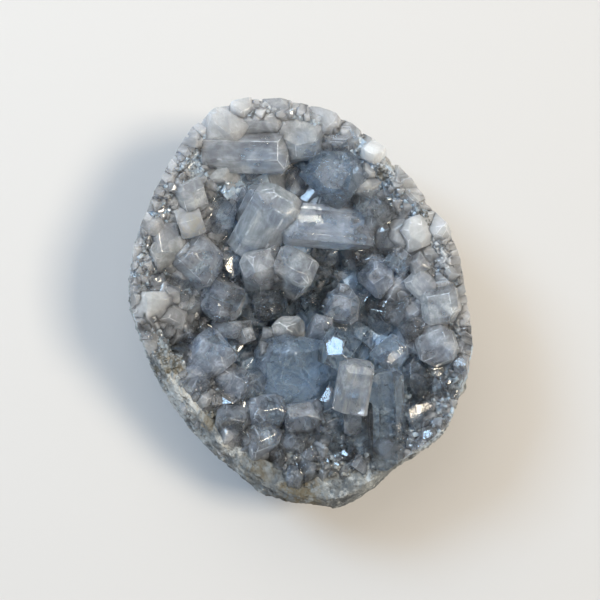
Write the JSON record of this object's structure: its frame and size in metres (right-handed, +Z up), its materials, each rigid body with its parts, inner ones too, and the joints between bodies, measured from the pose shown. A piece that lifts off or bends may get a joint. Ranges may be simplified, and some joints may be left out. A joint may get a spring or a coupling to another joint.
{
  "type": "celestite geode",
  "caption": "Egg-shaped rock nodule broken open across the top, its bowl lined with blocky pale blue-grey crystals that lean towards the middle.",
  "frame": {"origin": "on the surface the geode rests on, below the middle of its outline", "axes": "+Z up out of the open bowl, +Y along the egg's length towards its narrower, higher end, +X to its right"},
  "size_m": [0.0762, 0.091, 0.0392],
  "materials": {
    "rock": "matte, chalky and granular, stained brown and greenish in places",
    "crystal": "glassy faces over a see-through body, clouded milky in places"
  },
  "bodies": {
    "root": {"rock_shell": "rock", "crystal_crust": "crystal"}
  },
  "joints": []
}
